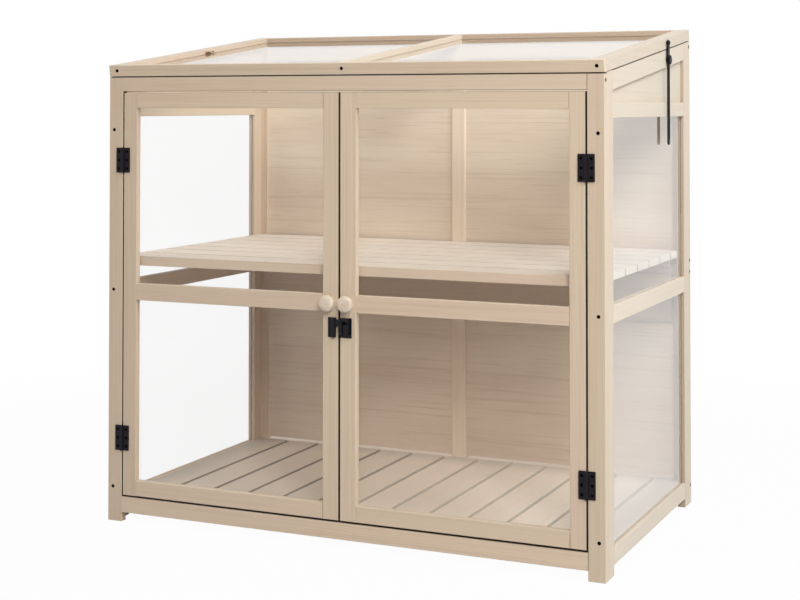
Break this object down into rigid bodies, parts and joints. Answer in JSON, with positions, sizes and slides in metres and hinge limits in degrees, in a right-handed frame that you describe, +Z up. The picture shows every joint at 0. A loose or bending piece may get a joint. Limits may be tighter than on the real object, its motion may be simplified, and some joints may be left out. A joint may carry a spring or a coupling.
{
  "type": "mini greenhouse",
  "caption": "Wooden mini greenhouse with clear panes, two hinged doors with a latch, a shelf, and a sloping lid that lifts on a slotted stay.",
  "frame": {"origin": "under the middle of the bounding box, at the ground", "axes": "+X to the right facing the doors, +Y to the rear, +Z up"},
  "size_m": [1.009, 0.6254, 0.9575],
  "materials": {
    "timber": "planed softwood, bare",
    "panel": "thin plywood sheet, bare",
    "clear_sheet": "clear acrylic sheet",
    "black_metal": "black, satin"
  },
  "bodies": {
    "cabinet": {"left_front_post": "timber", "left_rear_post": "timber", "left_bottom_rail": "timber", "left_middle_rail": "timber", "left_gable": "timber", "left_lower_pane": "clear_sheet", "left_upper_pane": "clear_sheet", "right_front_post": "timber", "right_rear_post": "timber", "right_bottom_rail": "timber", "right_middle_rail": "timber", "right_gable": "timber", "right_lower_pane": "clear_sheet", "right_upper_pane": "clear_sheet", "front_top_rail": "timber", "front_bottom_rail": "timber", "rear_frame": "timber", "floor": "timber", "shelf": "timber", "rear_panel": "panel", "left_upper_hinge_post_leaf": "black_metal", "left_lower_hinge_post_leaf": "black_metal", "right_upper_hinge_post_leaf": "black_metal", "right_lower_hinge_post_leaf": "black_metal", "lid_left_hinge_frame_leaf": "black_metal", "lid_right_hinge_frame_leaf": "black_metal"},
    "left_door": {"left_door_hinge_stile": "timber", "left_door_meeting_stile": "timber", "left_door_top_rail": "timber", "left_door_middle_rail": "timber", "left_door_bottom_rail": "timber", "left_door_pane": "clear_sheet", "left_door_knob": "timber", "left_upper_hinge_door_leaf": "black_metal", "left_lower_hinge_door_leaf": "black_metal", "latch_keeper": "black_metal"},
    "right_door": {"right_door_hinge_stile": "timber", "right_door_meeting_stile": "timber", "right_door_top_rail": "timber", "right_door_middle_rail": "timber", "right_door_bottom_rail": "timber", "right_door_pane": "clear_sheet", "right_door_knob": "timber", "right_upper_hinge_door_leaf": "black_metal", "right_lower_hinge_door_leaf": "black_metal", "latch_body": "black_metal"},
    "latch_bolt": {"latch_bolt": "black_metal"},
    "lid": {"lid_front_rail": "timber", "lid_back_rail": "timber", "lid_left_rail": "timber", "lid_right_rail": "timber", "lid_centre_rail": "timber", "lid_left_pane": "clear_sheet", "lid_left_hinge_lid_leaf": "black_metal", "lid_right_pane": "clear_sheet", "lid_right_hinge_lid_leaf": "black_metal"},
    "right_stay": {"right_stay": "black_metal"},
    "right_stay_knob": {"right_stay_knob": "black_metal"}
  },
  "joints": [
    {"name": "left_door_swing", "type": "hinge", "parent": "cabinet", "child": "left_door", "pos_m": [-0.47218, -0.29352, 0.43], "axis": [0, 0, -1], "range_deg": [0, 170]},
    {"name": "right_door_swing", "type": "hinge", "parent": "cabinet", "child": "right_door", "pos_m": [0.46322, -0.29352, 0.43], "axis": [0, 0, 1], "range_deg": [0, 170]},
    {"name": "lid_lift", "type": "hinge", "parent": "cabinet", "child": "lid", "pos_m": [-0.00447, 0.30983, 0.93551], "axis": [-1, 0, 0], "range_deg": [0, 32]},
    {"name": "right_stay_swing", "type": "hinge", "parent": "lid", "child": "right_stay", "pos_m": [0.49552, 0.12362, 0.92419], "axis": [1, 0, 0], "range_deg": [0, 23.52]},
    {"name": "right_stay_knob_turn", "type": "hinge", "parent": "cabinet", "child": "right_stay_knob", "pos_m": [0.49552, 0.12362, 0.89119], "axis": [1, 0, 0], "continuous": true},
    {"name": "latch_bolt_slide", "type": "slide", "parent": "right_door", "child": "latch_bolt", "axis": [1, 0, 0], "range_m": [0, 0.01]}
  ],
  "couplings": [
    {"joint": "right_stay_swing", "follows": "lid_lift", "ratio": 0.735}
  ]
}
